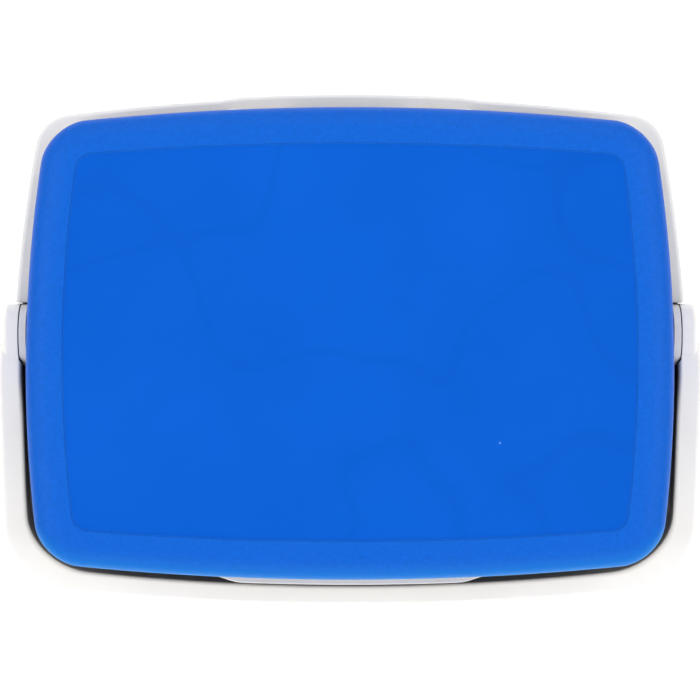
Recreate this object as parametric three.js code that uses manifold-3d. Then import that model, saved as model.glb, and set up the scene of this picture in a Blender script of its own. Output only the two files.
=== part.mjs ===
// A personal cooler chest: a foam-filled white body with a blue hinged lid and a swinging bail handle.
// Millimetres, +Z up. The origin is on the floor, under the middle of the folded cooler.
// +X is to the right, and -Y is the front, where the handle rests when it is folded down.
import * as THREE from 'three';
import { mergeVertices } from 'three/addons/utils/BufferGeometryUtils.js';
import Module from 'manifold-3d';

const wasm = await Module();
wasm.setup();

// ---------------------------------------------------------------- driving dimensions
const HEIGHT = 310;
const HALF_DEPTH = 140.8; // from the middle to the folded handle, and to the rear bulge
const HALF_WIDTH = 192; // from the middle to the outside of each handle arm
const GAP = 0.3; // running gap between touching pieces
const BIG = 400; // larger than the cooler, for cutting blocks

// Plan outlines: rounded rectangles whose four sides bow outwards, centred on x = 0, y = centerY.
// sideBow and endBow are how far the corners pull in; widestY is where the sides bow out most.
const BODY = {
  halfWidth: 184.7, halfDepth: 135.2, cornerRadius: 15, sideBow: 9.9, endBow: 12,
  centerY: 4.4, widestY: -34, bulge: HALF_DEPTH - 135.2 - 4.4,
};
const NECK = {
  halfWidth: 175, halfDepth: 129.5, cornerRadius: 25, sideBow: 9.2, endBow: 9.3,
  centerY: 4.4, widestY: -14, bulge: 2.2,
};
const LID = {
  halfWidth: 172.4, halfDepth: 125.7, cornerRadius: 22.2, sideBow: 9.2, endBow: 9.3,
  centerY: 4.4, widestY: -14, bulge: 0,
};
const FIELD = {
  halfWidth: 151.9, halfDepth: 105.1, cornerRadius: 7.5, sideBow: 7, endBow: 6,
  centerY: 5, widestY: -8, bulge: 0,
};
const MOUTH = {
  halfWidth: 153, halfDepth: 107, cornerRadius: 20, sideBow: 6, endBow: 6,
  centerY: 4.4, widestY: -8, bulge: 0,
};
const BULGE_TOP = 62; // half width of the flat part of the front and rear bulges
const BULGE_FOOT = 80; // half width where the bulges blend into the wall

// Body, from the floor up.
const SHELL_WALL = 2.6;
const SHELL_DRAFT = 0.072; // how much smaller the body is at the floor than at the top
const SHELL_TOP = 259.9;
const BASE_RECESS = 4;
const BASE_RING = 20; // width of the ring that the cooler stands on
const FLOOR_TOP = 6.6;
const LINER_WALL = 2.2;
const LINER_FLOOR = 27;
const LINER_DRAFT = 0.055;
const RIM_TOP = 262.6;
const FLANGE = 2.4;
const FLANGE_INSET = 2; // from the neck to the edge of the flange
const LEDGE_Z = 257; // top of the ledge behind and beside the lid
const LEDGE_FRONT = 122.2; // the ledge runs from here to the back of the body
const LEDGE_THICKNESS = 2.5;
const NECK_BOTTOM = 200; // hidden inside the body
const RECESS_BACK = 27; // the recess for the folded handle starts just behind the hubs
const RECESS_KNEE = -31; // ahead of this line its floor slopes down with the arms
const RECESS_FLOOR = 233.5;
const FINGER_ROOM = { depth: 6, back: -95, top: 250 }; // behind the folded handle's bar, under the lip of the neck

// Lid, from the seam up.
const LID_BOTTOM = 263;
const LID_WALL = 2.8;
const LID_EDGE = 12; // radius of the rounded top edge
const LID_DRAFT = 0.0175; // how much wider the skirt is at the seam than under the rounded edge
const FIELD_DEPTH = 0.8;
const LID_CEILING = HEIGHT - FIELD_DEPTH - 2; // underside of the lid's top wall
const PAN_FLANGE_BOTTOM = 265.4;
const PAN_FLANGE = 2.2;
const PLUG_BOTTOM = 249;
const PLUG_CLEARANCE = 4;
const GASKET = { inner: 1, outer: 4, bottom: 262.9, top: 265.1 };
const FILL_PLUG_RADIUS = 9;

// Lid hinges.
const HINGE = { y: 128.4, z: 262.8, halfLength: 18, knuckle: 3.6, pinRadius: 1.5, bore: 1.8, x: 48 };
const HINGE_MIDDLE = 6; // half length of the lid's knuckle
const BODY_LEAF = { halfLength: 30, front: 122.8, back: 131.2, bottom: 255, top: 257 };
const LID_LEAF = { halfLength: 18, front: 115.9, back: 124.4, bottom: 263.2, top: 265.1 };
const SCREW = { radius: 1.2, hole: 1.5, head: 2.1, sink: 2.4, headHeight: 1.3, length: 11 };
const BODY_SCREW = { x: 25, y: 127.4 };
const LID_SCREW = { x: 12, y: 119.5 };

// Bail handle.
const PIVOT = { y: 9.2, z: 254 };
const BAIL = { thickness: 10.4, width: 17, edge: 4.6, tuck: 1.5, slope: THREE.MathUtils.degToRad(11.5) };
const HUB = { radius: 17, inner: 180, outer: 190.3, bore: 5.3, sink: 9.5, sinkDepth: 3.4 };
const WASHER_SEAT = { radius: 13.4, end: 181.1 }; // sunk into the inner face of each hub
const BOSS = { radius: 14.3, end: 179.7, clearOfLid: 175.8, inside: 162, insideRadius: 9, bore: 5.3 };
const DISC = { radius: 16.8, drop: 1.4 }; // the wider upper part of each boss, down to just below the pivot
const PIVOT_PIN = { radius: 5, head: 9.1, headHeight: 2.9, start: 164.5 };
const WASHER = { radius: 13, start: 180, end: 180.8 };
const STOP = { inner: 15, outer: 17.4, halfAngle: THREE.MathUtils.degToRad(9.8) };
const STOP_ON_BODY = THREE.MathUtils.degToRad(195); // seen from the right, from the rear upwards
const STOP_ON_HUB = THREE.MathUtils.degToRad(150); // ahead of the arm

// ---------------------------------------------------------------- materials
const plastic = (color, roughness) => new THREE.MeshStandardMaterial({ color, roughness, metalness: 0 });
const WHITE_SHELL = plastic(0xe9e9e6, 0.45);
const WHITE_LINER = plastic(0xf1f1ee, 0.4);
const WHITE_HANDLE = plastic(0xf2f2f2, 0.35);
const WHITE_TRIM = plastic(0xdedede, 0.4);
const LID_BLUE = plastic(0x1262d8, 0.42);
const FOAM = plastic(0xe6d8a8, 0.95);
const SEAL = plastic(0x3a3d42, 0.8);
const STEEL = new THREE.MeshStandardMaterial({ color: 0xb9bcc0, roughness: 0.3, metalness: 1 });

// ---------------------------------------------------------------- joining and cutting
function toSolid(geometry) {
  const bare = geometry.clone();
  bare.deleteAttribute('normal');
  bare.deleteAttribute('uv');
  const merged = mergeVertices(bare, 1e-3);
  const vertProperties = Float32Array.from(merged.attributes.position.array);
  const triVerts = Uint32Array.from(merged.index.array);
  return new wasm.Manifold(new wasm.Mesh({ numProp: 3, vertProperties, triVerts }));
}

function toGeometry(solid) {
  const mesh = solid.getMesh();
  const geometry = new THREE.BufferGeometry();
  geometry.setAttribute('position', new THREE.BufferAttribute(mesh.vertProperties, 3));
  geometry.setIndex(new THREE.BufferAttribute(mesh.triVerts, 1));
  geometry.computeVertexNormals();
  return geometry;
}

const join = (...solids) => solids.reduce((sum, solid) => sum.add(solid));
const cut = (solid, ...tools) => tools.reduce((rest, tool) => rest.subtract(tool), solid);

function box([x0, y0, z0], [x1, y1, z1]) {
  const geometry = new THREE.BoxGeometry(x1 - x0, y1 - y0, z1 - z0);
  geometry.translate((x0 + x1) / 2, (y0 + y1) / 2, (z0 + z1) / 2);
  return toSolid(geometry);
}

/** A cylinder along X from x0 to x1, with its axis through y, z. */
function cylinderAlongX(radius, x0, x1, y, z, sides = 20) {
  const geometry = new THREE.CylinderGeometry(radius, radius, Math.abs(x1 - x0), sides);
  geometry.rotateZ(Math.PI / 2);
  geometry.translate((x0 + x1) / 2, y, z);
  return toSolid(geometry);
}

/** A cylinder along Z from z0 to z1, with its axis through x, y. */
function cylinderAlongZ(radius, z0, z1, x, y, sides = 16) {
  const geometry = new THREE.CylinderGeometry(radius, radius, z1 - z0, sides);
  geometry.rotateX(Math.PI / 2);
  geometry.translate(x, y, (z0 + z1) / 2);
  return toSolid(geometry);
}

/** A turned piece: [radius, height] pairs from axis to axis, standing along Z. */
function turned(profile, sides) {
  const points = profile.map(([radius, height]) => new THREE.Vector2(radius, height));
  const geometry = new THREE.LatheGeometry(points, sides);
  geometry.rotateX(Math.PI / 2);
  return toGeometry(toSolid(geometry));
}

// ---------------------------------------------------------------- bowed outlines
const SIDE_STEPS = 3;
const CORNER_STEPS = 5;
const END_STEPS = 6;

/** Where points stand along an end: evenly, and at the feet of the bulge if there is one. */
function endStations(cornerX, bulge) {
  const stations = [];
  for (let i = 0; i <= END_STEPS; i += 1) {
    stations.push(cornerX * (1 - (2 * i) / END_STEPS));
  }
  if (!bulge) return stations;
  const blend = [BULGE_FOOT, (BULGE_FOOT + BULGE_TOP) / 2, BULGE_TOP];
  const away = stations.filter((x) => blend.every((b) => Math.abs(Math.abs(x) - b) > 4));
  return [...away, ...blend, ...blend.map((b) => -b)].sort((a, b) => b - a);
}

/** Front half of a rounded rectangle, from the right side at y = sideStart round to the left side. */
function frontHalf({ halfWidth, halfDepth, cornerRadius, bulge }, sideStart) {
  const cornerX = halfWidth - cornerRadius;
  const cornerY = halfDepth - cornerRadius;
  const right = [];
  for (let i = 0; i < SIDE_STEPS; i += 1) {
    right.push([halfWidth, sideStart - ((sideStart + cornerY) * i) / SIDE_STEPS]);
  }
  for (let i = 0; i < CORNER_STEPS; i += 1) {
    const angle = (i / CORNER_STEPS) * (Math.PI / 2);
    right.push([cornerX + cornerRadius * Math.cos(angle), -cornerY - cornerRadius * Math.sin(angle)]);
  }
  const end = endStations(cornerX, bulge).map((x) => [x, -halfDepth]);
  const left = right.map(([x, y]) => [-x, y]).reverse();
  return [...right, ...end, ...left];
}

/** Bows a point of the rounded rectangle outwards, and adds the bulge in the middle of each end. */
function bow([x, y], { halfWidth, halfDepth, sideBow, endBow, widestY, bulge }) {
  const sidePull = (sideBow / halfWidth) * ((y - widestY) / halfDepth) ** 2;
  const endPull = (endBow / halfDepth) * (x / halfWidth) ** 2;
  const rise = 1 - THREE.MathUtils.smoothstep(Math.abs(x), BULGE_TOP, BULGE_FOOT);
  const onEnd = Math.abs(y) > halfDepth * 0.98 ? 1 : 0;
  return new THREE.Vector2(x * (1 - sidePull), y * (1 - endPull) + Math.sign(y) * bulge * rise * onEnd);
}

/** The same outline, drawn in by a distance on every side. */
function inset(size, distance) {
  return {
    ...size,
    halfWidth: size.halfWidth - distance,
    halfDepth: size.halfDepth - distance,
    cornerRadius: Math.max(size.cornerRadius - distance, 1),
  };
}

function outline(size) {
  const front = frontHalf(size, 0);
  const back = front.map(([x, y]) => [-x, -y]);
  return new THREE.Shape([...front.slice(0, -1), ...back.slice(0, -1)].map((point) => bow(point, size)));
}

/** Scales every height of a geometry about x = 0, y = 0 by scaleAt(z). */
function taper(geometry, scaleAt) {
  const position = geometry.attributes.position;
  for (let i = 0; i < position.count; i += 1) {
    const scale = scaleAt(position.getZ(i));
    position.setXY(i, position.getX(i) * scale, position.getY(i) * scale);
  }
}

/** An upright prism on an outline, with a rounded edge at its top or bottom if edge is given. */
function prism(size, z0, z1, { scaleAt = () => 1, topEdge = 0, bottomEdge = 0, edgeSteps = 3 } = {}) {
  const edge = Math.max(topEdge, bottomEdge);
  const low = bottomEdge ? z0 : z0 - 2 * edge;
  const high = topEdge ? z1 : z1 + 2 * edge;
  const geometry = new THREE.ExtrudeGeometry(outline(size), {
    depth: high - low - 2 * edge,
    bevelEnabled: edge > 0,
    bevelThickness: edge,
    bevelSize: edge,
    bevelOffset: -edge,
    bevelSegments: edgeSteps,
  });
  geometry.translate(0, 0, low + edge);
  taper(geometry, scaleAt);
  geometry.translate(0, size.centerY, 0);
  const solid = toSolid(geometry);
  if (!edge) return solid;
  return solid.intersect(box([-BIG, -BIG, z0], [BIG, BIG, z1]));
}

const bodyScale = (z) => 1 - SHELL_DRAFT * (1 - z / LEDGE_Z);
const neckScale = (z) => 1 - SHELL_DRAFT * (1 - z / RIM_TOP);
const linerScale = (z) => 1 - LINER_DRAFT * (1 - z / RIM_TOP);
const lidScale = (z) => 1 + LID_DRAFT * (1 - Math.min(1, (z - LID_BOTTOM) / (HEIGHT - LID_EDGE - LID_BOTTOM)));

const bodyPrism = (distance, z0, z1, edges) => prism(inset(BODY, distance), z0, z1, { scaleAt: bodyScale, ...edges });
const neckPrism = (distance, z0, z1, edges) => prism(inset(NECK, distance), z0, z1, { scaleAt: neckScale, ...edges });
const mouthPrism = (distance, z0, z1, edges) => prism(inset(MOUTH, distance), z0, z1, { scaleAt: linerScale, ...edges });
const lidPrism = (distance, z0, z1, edges) => prism(inset(LID, distance), z0, z1, { scaleAt: lidScale, ...edges });

// ---------------------------------------------------------------- hinge seats, shared by several pieces
const hingeSides = [{ name: 'left', x: -HINGE.x }, { name: 'right', x: HINGE.x }];
const handleSides = [{ name: 'left', sign: -1 }, { name: 'right', sign: 1 }];
const screwEnds = [{ name: 'outer', sign: 1 }, { name: 'inner', sign: -1 }];

/** Blocks under the ledge that the body leaves are screwed into. */
function bodyHingeBlocks(margin) {
  const [low, high] = [236 - margin, BODY_LEAF.bottom];
  const blocks = hingeSides.map(({ x }) => box(
    [x - BODY_LEAF.halfLength - 2 - margin, LEDGE_FRONT - margin, low],
    [x + BODY_LEAF.halfLength + 2 + margin, HALF_DEPTH, high],
  ));
  return join(...blocks);
}

/** Bosses on the lid pan that the lid leaves are screwed into. */
function lidHingeBosses(margin) {
  const bosses = hingeSides.map(({ x }) => box(
    [x - LID_LEAF.halfLength - margin, LID_LEAF.front - 1 - margin, PAN_FLANGE_BOTTOM],
    [x + LID_LEAF.halfLength + margin, LID_LEAF.back - 1 + margin, PAN_FLANGE_BOTTOM + 12 + margin],
  ));
  return join(...bosses);
}

/** Room for the knuckles in the lid's skirt and pan. */
function knuckleNotches() {
  const room = HINGE.halfLength + 0.5;
  const notches = hingeSides.map(({ x }) => box(
    [x - room, LID_LEAF.back - 0.2, LID_BOTTOM - 1],
    [x + room, HALF_DEPTH, HINGE.z + HINGE.knuckle + 1.1],
  ));
  return join(...notches);
}

/** Places of the screws of one kind of leaf: two on each hinge. */
function screwPlaces({ x, y }) {
  return hingeSides.flatMap((hinge) => screwEnds.map((end) => ({
    name: `${hinge.name}_${end.name}`,
    x: hinge.x + Math.sign(hinge.x) * end.sign * x,
    y,
  })));
}

// ---------------------------------------------------------------- body
/** A prism along X from x0 to x1, on a shape drawn from the right: its first axis is Y and its second is Z. */
function sideProfile(shape, x0, x1) {
  const geometry = new THREE.ExtrudeGeometry(shape, { depth: x1 - x0, bevelEnabled: false, curveSegments: 4 });
  geometry.rotateX(Math.PI / 2);
  geometry.rotateZ(Math.PI / 2);
  geometry.translate(x0, 0, 0);
  return toSolid(geometry);
}

/** Space for the folded handle in the front half of the body, deeper by a margin. */
function handleRecess(margin) {
  const floor = RECESS_FLOOR - margin;
  const frontFloor = floor - (BIG + RECESS_KNEE) * Math.tan(BAIL.slope);
  const corners = [
    [RECESS_BACK + margin, BIG], [RECESS_BACK + margin, floor], [RECESS_KNEE, floor], [-BIG, frontFloor], [-BIG, BIG],
  ];
  return sideProfile(new THREE.Shape(corners.map(([y, z]) => new THREE.Vector2(y, z))), -BIG, BIG);
}

/** A block on a ring sector round the handle pivot at y, z; angles run from the rear upwards. */
function stopSector(angle, x0, x1, y, z) {
  const shape = new THREE.Shape();
  shape.absarc(y, z, STOP.outer, angle - STOP.halfAngle, angle + STOP.halfAngle, false);
  shape.absarc(y, z, STOP.inner, angle + STOP.halfAngle, angle - STOP.halfAngle, true);
  return sideProfile(shape, x0, x1);
}

/** Room for the fingers that lift the folded handle's bar, deeper by a margin. */
function fingerRoom(margin) {
  const front = box([-BIG, -BIG, 0], [BIG, FINGER_ROOM.back + margin, FINGER_ROOM.top + margin]);
  const core = prism(inset({ ...NECK, bulge: 0 }, FINGER_ROOM.depth + margin), 0, BIG, { scaleAt: neckScale });
  return cut(front.intersect(handleRecess(margin)), core);
}

/** The room inside the shell's walls, or with a margin the foam that fills it. */
function shellInside(margin) {
  const wall = SHELL_WALL + margin;
  const underLedge = LEDGE_Z - LEDGE_THICKNESS - margin;
  const lower = cut(bodyPrism(wall, FLOOR_TOP + margin, underLedge, { bottomEdge: 5 }), handleRecess(wall));
  const behindNeck = box([-BIG, LEDGE_FRONT - margin, underLedge], [BIG, BIG, BIG]);
  const upper = prism(inset({ ...NECK, bulge: 0 }, wall), NECK_BOTTOM, RIM_TOP, { scaleAt: neckScale });
  return cut(join(lower, upper), behindNeck, fingerRoom(wall));
}

/** Boss that a handle hub turns on, with the block inside the wall that holds its pin. */
function pivotBoss(sign, margin) {
  const underLid = box([-BOSS.clearOfLid, -BIG, SHELL_TOP], [BOSS.clearOfLid, BIG, BIG]);
  const upperHalf = box([-BIG, -BIG, PIVOT.z - DISC.drop], [BIG, BIG, BIG]);
  const disc = cylinderAlongX(DISC.radius, sign * 172.3, sign * BOSS.end, PIVOT.y, PIVOT.z, 28).intersect(upperHalf);
  const core = cylinderAlongX(BOSS.radius, sign * 172.3, sign * BOSS.end, PIVOT.y, PIVOT.z);
  const stem = cylinderAlongX(
    BOSS.insideRadius + margin, sign * (BOSS.inside - margin), sign * 173, PIVOT.y, PIVOT.z,
  );
  return { outer: cut(join(core, disc), underLid), stem: cut(stem, underLid) };
}

function makeOuterShell() {
  const body = cut(bodyPrism(0, 0, LEDGE_Z, { bottomEdge: 7 }), handleRecess(0));
  const aboveLedge = box([-BIG, LEDGE_FRONT, LEDGE_Z], [BIG, BIG, BIG]);
  const outside = cut(join(body, neckPrism(0, NECK_BOTTOM, SHELL_TOP)), aboveLedge, fingerRoom(0));
  const blocks = bodyHingeBlocks(0).intersect(outside);
  const leafSeats = join(...hingeSides.map(({ x }) => box(
    [x - BODY_LEAF.halfLength - GAP, BODY_LEAF.front - GAP, BODY_LEAF.bottom - GAP],
    [x + BODY_LEAF.halfLength + GAP, BODY_LEAF.back + GAP, BIG],
  )));
  const screwHoles = join(...screwPlaces(BODY_SCREW).map(({ x, y }) => (
    cylinderAlongZ(SCREW.hole, BODY_LEAF.top - SCREW.length - 2, BIG, x, y, 12)
  )));
  const baseRecess = bodyPrism(BASE_RING, -1, BASE_RECESS);
  const fillHole = cylinderAlongZ(FILL_PLUG_RADIUS + GAP, -1, FLOOR_TOP + 1, 0, BODY.centerY);
  const walls = join(cut(outside, shellInside(0)), blocks);
  const hollow = cut(walls, leafSeats, screwHoles, baseRecess, fillHole);
  const bosses = handleSides.map(({ sign }) => pivotBoss(sign, 0));
  const stops = handleSides.map(({ sign }) => {
    const [near, far] = [sign * 172, sign * BOSS.end];
    return stopSector(STOP_ON_BODY, Math.min(near, far), Math.max(near, far), PIVOT.y, PIVOT.z);
  });
  const bores = handleSides.map(({ sign }) => (
    cylinderAlongX(BOSS.bore, sign * (PIVOT_PIN.start - GAP), sign * HALF_WIDTH, PIVOT.y, PIVOT.z)
  ));
  const lugs = bosses.flatMap(({ outer, stem }) => [outer, stem]);
  return cut(join(hollow, ...lugs, ...stops), ...bores);
}

function makeInnerLiner() {
  const wall = mouthPrism(-LINER_WALL, LINER_FLOOR - LINER_WALL, RIM_TOP, { bottomEdge: 14 });
  const flange = prism(inset({ ...NECK, bulge: 0 }, FLANGE_INSET), RIM_TOP - FLANGE, RIM_TOP, { scaleAt: neckScale });
  const lipBlock = box([-BIG, LEDGE_FRONT - GAP - 2.3, LEDGE_Z - LEDGE_THICKNESS], [BIG, LEDGE_FRONT - GAP, RIM_TOP]);
  const lip = neckPrism(SHELL_WALL + GAP, LEDGE_Z - LEDGE_THICKNESS - 1, RIM_TOP).intersect(lipBlock);
  const cavity = mouthPrism(0, LINER_FLOOR, BIG, { bottomEdge: 12 });
  const behindLip = box([-BIG, LEDGE_FRONT - GAP, 0], [BIG, BIG, BIG]);
  return cut(join(wall, flange, lip), cavity, behindLip);
}

function makeBodyInsulation() {
  const fill = cut(shellInside(GAP), box([-BIG, -BIG, RIM_TOP - FLANGE - GAP], [BIG, BIG, BIG]));
  const liner = mouthPrism(-LINER_WALL - GAP, LINER_FLOOR - LINER_WALL - GAP, BIG, { bottomEdge: 14 });
  const lipRoom = box([-BIG, LEDGE_FRONT - 2 * GAP - 2.3, LEDGE_Z - LEDGE_THICKNESS - GAP], [BIG, BIG, BIG]);
  const blocks = bodyHingeBlocks(GAP);
  const stems = handleSides.map(({ sign }) => pivotBoss(sign, GAP).stem);
  return cut(fill, liner, lipRoom, blocks, ...stems);
}

/** Stepped plug that closes the hole the foam is poured through. */
function makeFillPlug() {
  return turned([[0, 0], [FILL_PLUG_RADIUS, 0], [FILL_PLUG_RADIUS, 2], [7, 2.4], [0, 2.4]], 16);
}

// ---------------------------------------------------------------- lid
function makeLidShell() {
  const outside = lidPrism(0, LID_BOTTOM, HEIGHT, { topEdge: LID_EDGE });
  const inside = lidPrism(LID_WALL, LID_BOTTOM - 1, LID_CEILING, { topEdge: LID_EDGE - LID_WALL });
  const field = prism(FIELD, HEIGHT - FIELD_DEPTH, HEIGHT + 1);
  return cut(outside, inside, field, knuckleNotches());
}

function makeLidPan() {
  const flange = lidPrism(LID_WALL + GAP, PAN_FLANGE_BOTTOM, PAN_FLANGE_BOTTOM + PAN_FLANGE);
  const plug = mouthPrism(PLUG_CLEARANCE, PLUG_BOTTOM, PAN_FLANGE_BOTTOM + PAN_FLANGE, { bottomEdge: 4 });
  const hollow = mouthPrism(PLUG_CLEARANCE + PAN_FLANGE, PLUG_BOTTOM + PAN_FLANGE, BIG, { bottomEdge: 3 });
  const fillHole = cylinderAlongZ(FILL_PLUG_RADIUS + GAP, 0, BIG, 0, MOUTH.centerY);
  const screwHoles = screwPlaces(LID_SCREW).map(({ x, y }) => (
    cylinderAlongZ(SCREW.hole, 0, LID_LEAF.bottom + SCREW.length + 1, x, y, 12)
  ));
  return cut(join(cut(join(flange, plug), hollow), lidHingeBosses(0)), knuckleNotches(), fillHole, ...screwHoles);
}

function makeLidInsulation() {
  const top = LID_CEILING - GAP;
  const upper = lidPrism(LID_WALL + GAP, PAN_FLANGE_BOTTOM + PAN_FLANGE + GAP, top, {
    topEdge: LID_EDGE - LID_WALL - GAP,
  });
  const lower = mouthPrism(
    PLUG_CLEARANCE + PAN_FLANGE + GAP, PLUG_BOTTOM + PAN_FLANGE + 2 * GAP, top - 10, { bottomEdge: 3 },
  );
  return cut(join(upper, lower), lidHingeBosses(GAP));
}

function makeGasket() {
  const outside = mouthPrism(-GASKET.outer, GASKET.bottom, GASKET.top);
  const inside = mouthPrism(-GASKET.inner, GASKET.bottom - 1, GASKET.top + 1);
  return cut(outside, inside);
}

// ---------------------------------------------------------------- hinges
/** Knuckle along X round the hinge axis, from x0 to x1 either side of the hinge's middle. */
function knuckle(x0, x1) {
  return cylinderAlongX(HINGE.knuckle, x0, x1, HINGE.y, HINGE.z, 20);
}

function makeBodyLeaf() {
  const plate = box(
    [-BODY_LEAF.halfLength, BODY_LEAF.front, BODY_LEAF.bottom],
    [BODY_LEAF.halfLength, BODY_LEAF.back, BODY_LEAF.top],
  );
  const ends = [-1, 1].flatMap((sign) => {
    const [near, far] = [sign * (HINGE_MIDDLE + GAP), sign * HINGE.halfLength];
    const neck = box(
      [Math.min(near, far), HINGE.y - 2, BODY_LEAF.top - 0.5],
      [Math.max(near, far), HINGE.y + 2, HINGE.z],
    );
    return [knuckle(near, far), neck];
  });
  const bore = cylinderAlongX(HINGE.bore, -BIG, BIG, HINGE.y, HINGE.z, 14);
  const holes = leafScrewHoles(BODY_SCREW, BODY_LEAF.top - SCREW.headHeight - GAP / 2, BIG);
  return toGeometry(cut(join(plate, ...ends), bore, ...holes));
}

function makeLidLeaf() {
  const plate = box(
    [-LID_LEAF.halfLength, LID_LEAF.front, LID_LEAF.bottom],
    [LID_LEAF.halfLength, LID_LEAF.back - 1, LID_LEAF.top],
  );
  const arm = box([-HINGE_MIDDLE, LID_LEAF.back - 2, LID_LEAF.bottom], [HINGE_MIDDLE, HINGE.y, LID_LEAF.top]);
  const bore = cylinderAlongX(HINGE.bore, -BIG, BIG, HINGE.y, HINGE.z, 14);
  const middle = knuckle(-HINGE_MIDDLE, HINGE_MIDDLE);
  const holes = leafScrewHoles(LID_SCREW, 0, LID_LEAF.bottom + SCREW.headHeight + GAP / 2);
  return toGeometry(cut(join(plate, arm, middle), bore, ...holes));
}

/** Two screw holes, sunk for the heads between the heights sinkLow and sinkHigh. */
function leafScrewHoles({ x, y }, sinkLow, sinkHigh) {
  return [-1, 1].flatMap((sign) => [
    cylinderAlongZ(SCREW.hole, 0, BIG, sign * x, y, 12),
    cylinderAlongZ(SCREW.sink, sinkLow, sinkHigh, sign * x, y, 16),
  ]);
}

function makeHingePin() {
  const half = HINGE.halfLength;
  const [r, chamfer] = [HINGE.pinRadius, 0.4];
  return turned([[0, -half], [r - chamfer, -half], [r, chamfer - half], [r, half - chamfer],
    [r - chamfer, half], [0, half]], 10);
}

/** A pan-head screw with its head at z = 0, pointing down. */
function makeScrew() {
  const { radius, head, headHeight, length } = SCREW;
  return turned([[0, -length], [0.4, -length], [radius, -length + 2], [radius, -headHeight],
    [head, -headHeight], [head, -0.5], [head - 0.7, 0], [0, 0]], 10);
}

// ---------------------------------------------------------------- handle
/** How far the strap's rounded section reaches past its middle, towards the front, when folded. */
const strapReach = (BAIL.thickness / 2 - BAIL.edge) * Math.cos(BAIL.slope)
  + (BAIL.width / 2 - BAIL.edge) * Math.sin(BAIL.slope) + BAIL.edge;
const barRadius = (PIVOT.y + HALF_DEPTH - strapReach) / Math.cos(BAIL.slope);

/** The bail lies flat round the origin at its pivot, with its bar towards -Y. Its arms tuck in towards the hubs. */
function makeBail() {
  const widest = 28; // the arms bow out most this far ahead of the pivot
  const outer = {
    halfWidth: HALF_WIDTH, halfDepth: barRadius + BAIL.thickness / 2 - widest, cornerRadius: 36,
    sideBow: 1.5, endBow: 11.7, widestY: 0, bulge: 0,
  };
  const inner = inset(outer, BAIL.thickness);
  const tucked = (point, size) => {
    const bowed = bow(point, size);
    bowed.x *= 1 - (BAIL.tuck / HALF_WIDTH) * (Math.max(0, point[1]) / widest) ** 2;
    return bowed;
  };
  const outside = frontHalf(outer, widest).map((point) => tucked(point, outer));
  const inside = frontHalf(inner, widest).map((point) => tucked(point, inner)).reverse();
  const shape = new THREE.Shape([...outside, ...inside]);
  const geometry = new THREE.ExtrudeGeometry(shape, {
    depth: BAIL.width - 2 * BAIL.edge,
    bevelEnabled: true,
    bevelThickness: BAIL.edge,
    bevelSize: BAIL.edge,
    bevelOffset: -BAIL.edge,
    bevelSegments: 3,
  });
  geometry.translate(0, -widest, BAIL.edge - BAIL.width / 2);
  const hubs = handleSides.map(({ sign }) => cylinderAlongX(HUB.radius, sign * HUB.inner, sign * HUB.outer, 0, 0, 28));
  const lugs = handleSides.map(({ sign }) => {
    const [near, far] = [sign * (BOSS.end - 2.4), sign * (HUB.inner + 2)];
    return stopSector(Math.PI + STOP_ON_HUB, Math.min(near, far), Math.max(near, far), 0, 0);
  });
  const bores = handleSides.map(({ sign }) => cylinderAlongX(HUB.bore, sign * 170, sign * 200, 0, 0));
  const sinks = handleSides.map(({ sign }) => (
    cylinderAlongX(HUB.sink, sign * (HUB.outer - HUB.sinkDepth), sign * 200, 0, 0)
  ));
  const seats = handleSides.map(({ sign }) => (
    cylinderAlongX(WASHER_SEAT.radius, sign * 170, sign * WASHER_SEAT.end, 0, 0)
  ));
  return cut(join(cut(join(toSolid(geometry), ...hubs), ...seats), ...lugs), ...bores, ...sinks);
}

/** Shouldered pin, standing along Z with its head at the top. */
function makePivotPin() {
  const { radius, head, headHeight, start } = PIVOT_PIN;
  const length = HUB.outer - 0.2 - start;
  return turned([[0, 0], [radius - 0.8, 0], [radius, 0.8], [radius, length - headHeight],
    [head, length - headHeight], [head, length - 0.8], [head - 0.8, length], [0, length]], 20);
}

function makeWasher() {
  return cut(
    cylinderAlongX(WASHER.radius, WASHER.start, WASHER.end, 0, 0),
    cylinderAlongX(PIVOT_PIN.radius + GAP, WASHER.start - 1, WASHER.end + 1, 0, 0),
  );
}

// ---------------------------------------------------------------- the assembly
const cooler = new THREE.Group();

function place(name, geometry, material, position = [0, 0, 0], rotation = [0, 0, 0]) {
  const mesh = new THREE.Mesh(geometry, material);
  mesh.name = name;
  mesh.position.set(...position);
  mesh.rotation.set(...rotation);
  cooler.add(mesh);
}

place('outer_shell', toGeometry(makeOuterShell()), WHITE_SHELL);
place('inner_liner', toGeometry(makeInnerLiner()), WHITE_LINER);
place('body_insulation', toGeometry(makeBodyInsulation()), FOAM);
place('body_fill_plug', makeFillPlug(), WHITE_TRIM, [0, BODY.centerY, BASE_RECESS]);

place('lid_shell', toGeometry(makeLidShell()), LID_BLUE);
place('lid_pan', toGeometry(makeLidPan()), WHITE_LINER);
place('lid_insulation', toGeometry(makeLidInsulation()), FOAM);
place('lid_fill_plug', makeFillPlug(), WHITE_TRIM, [0, MOUTH.centerY, PLUG_BOTTOM]);
place('lid_gasket', toGeometry(makeGasket()), SEAL);

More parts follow.
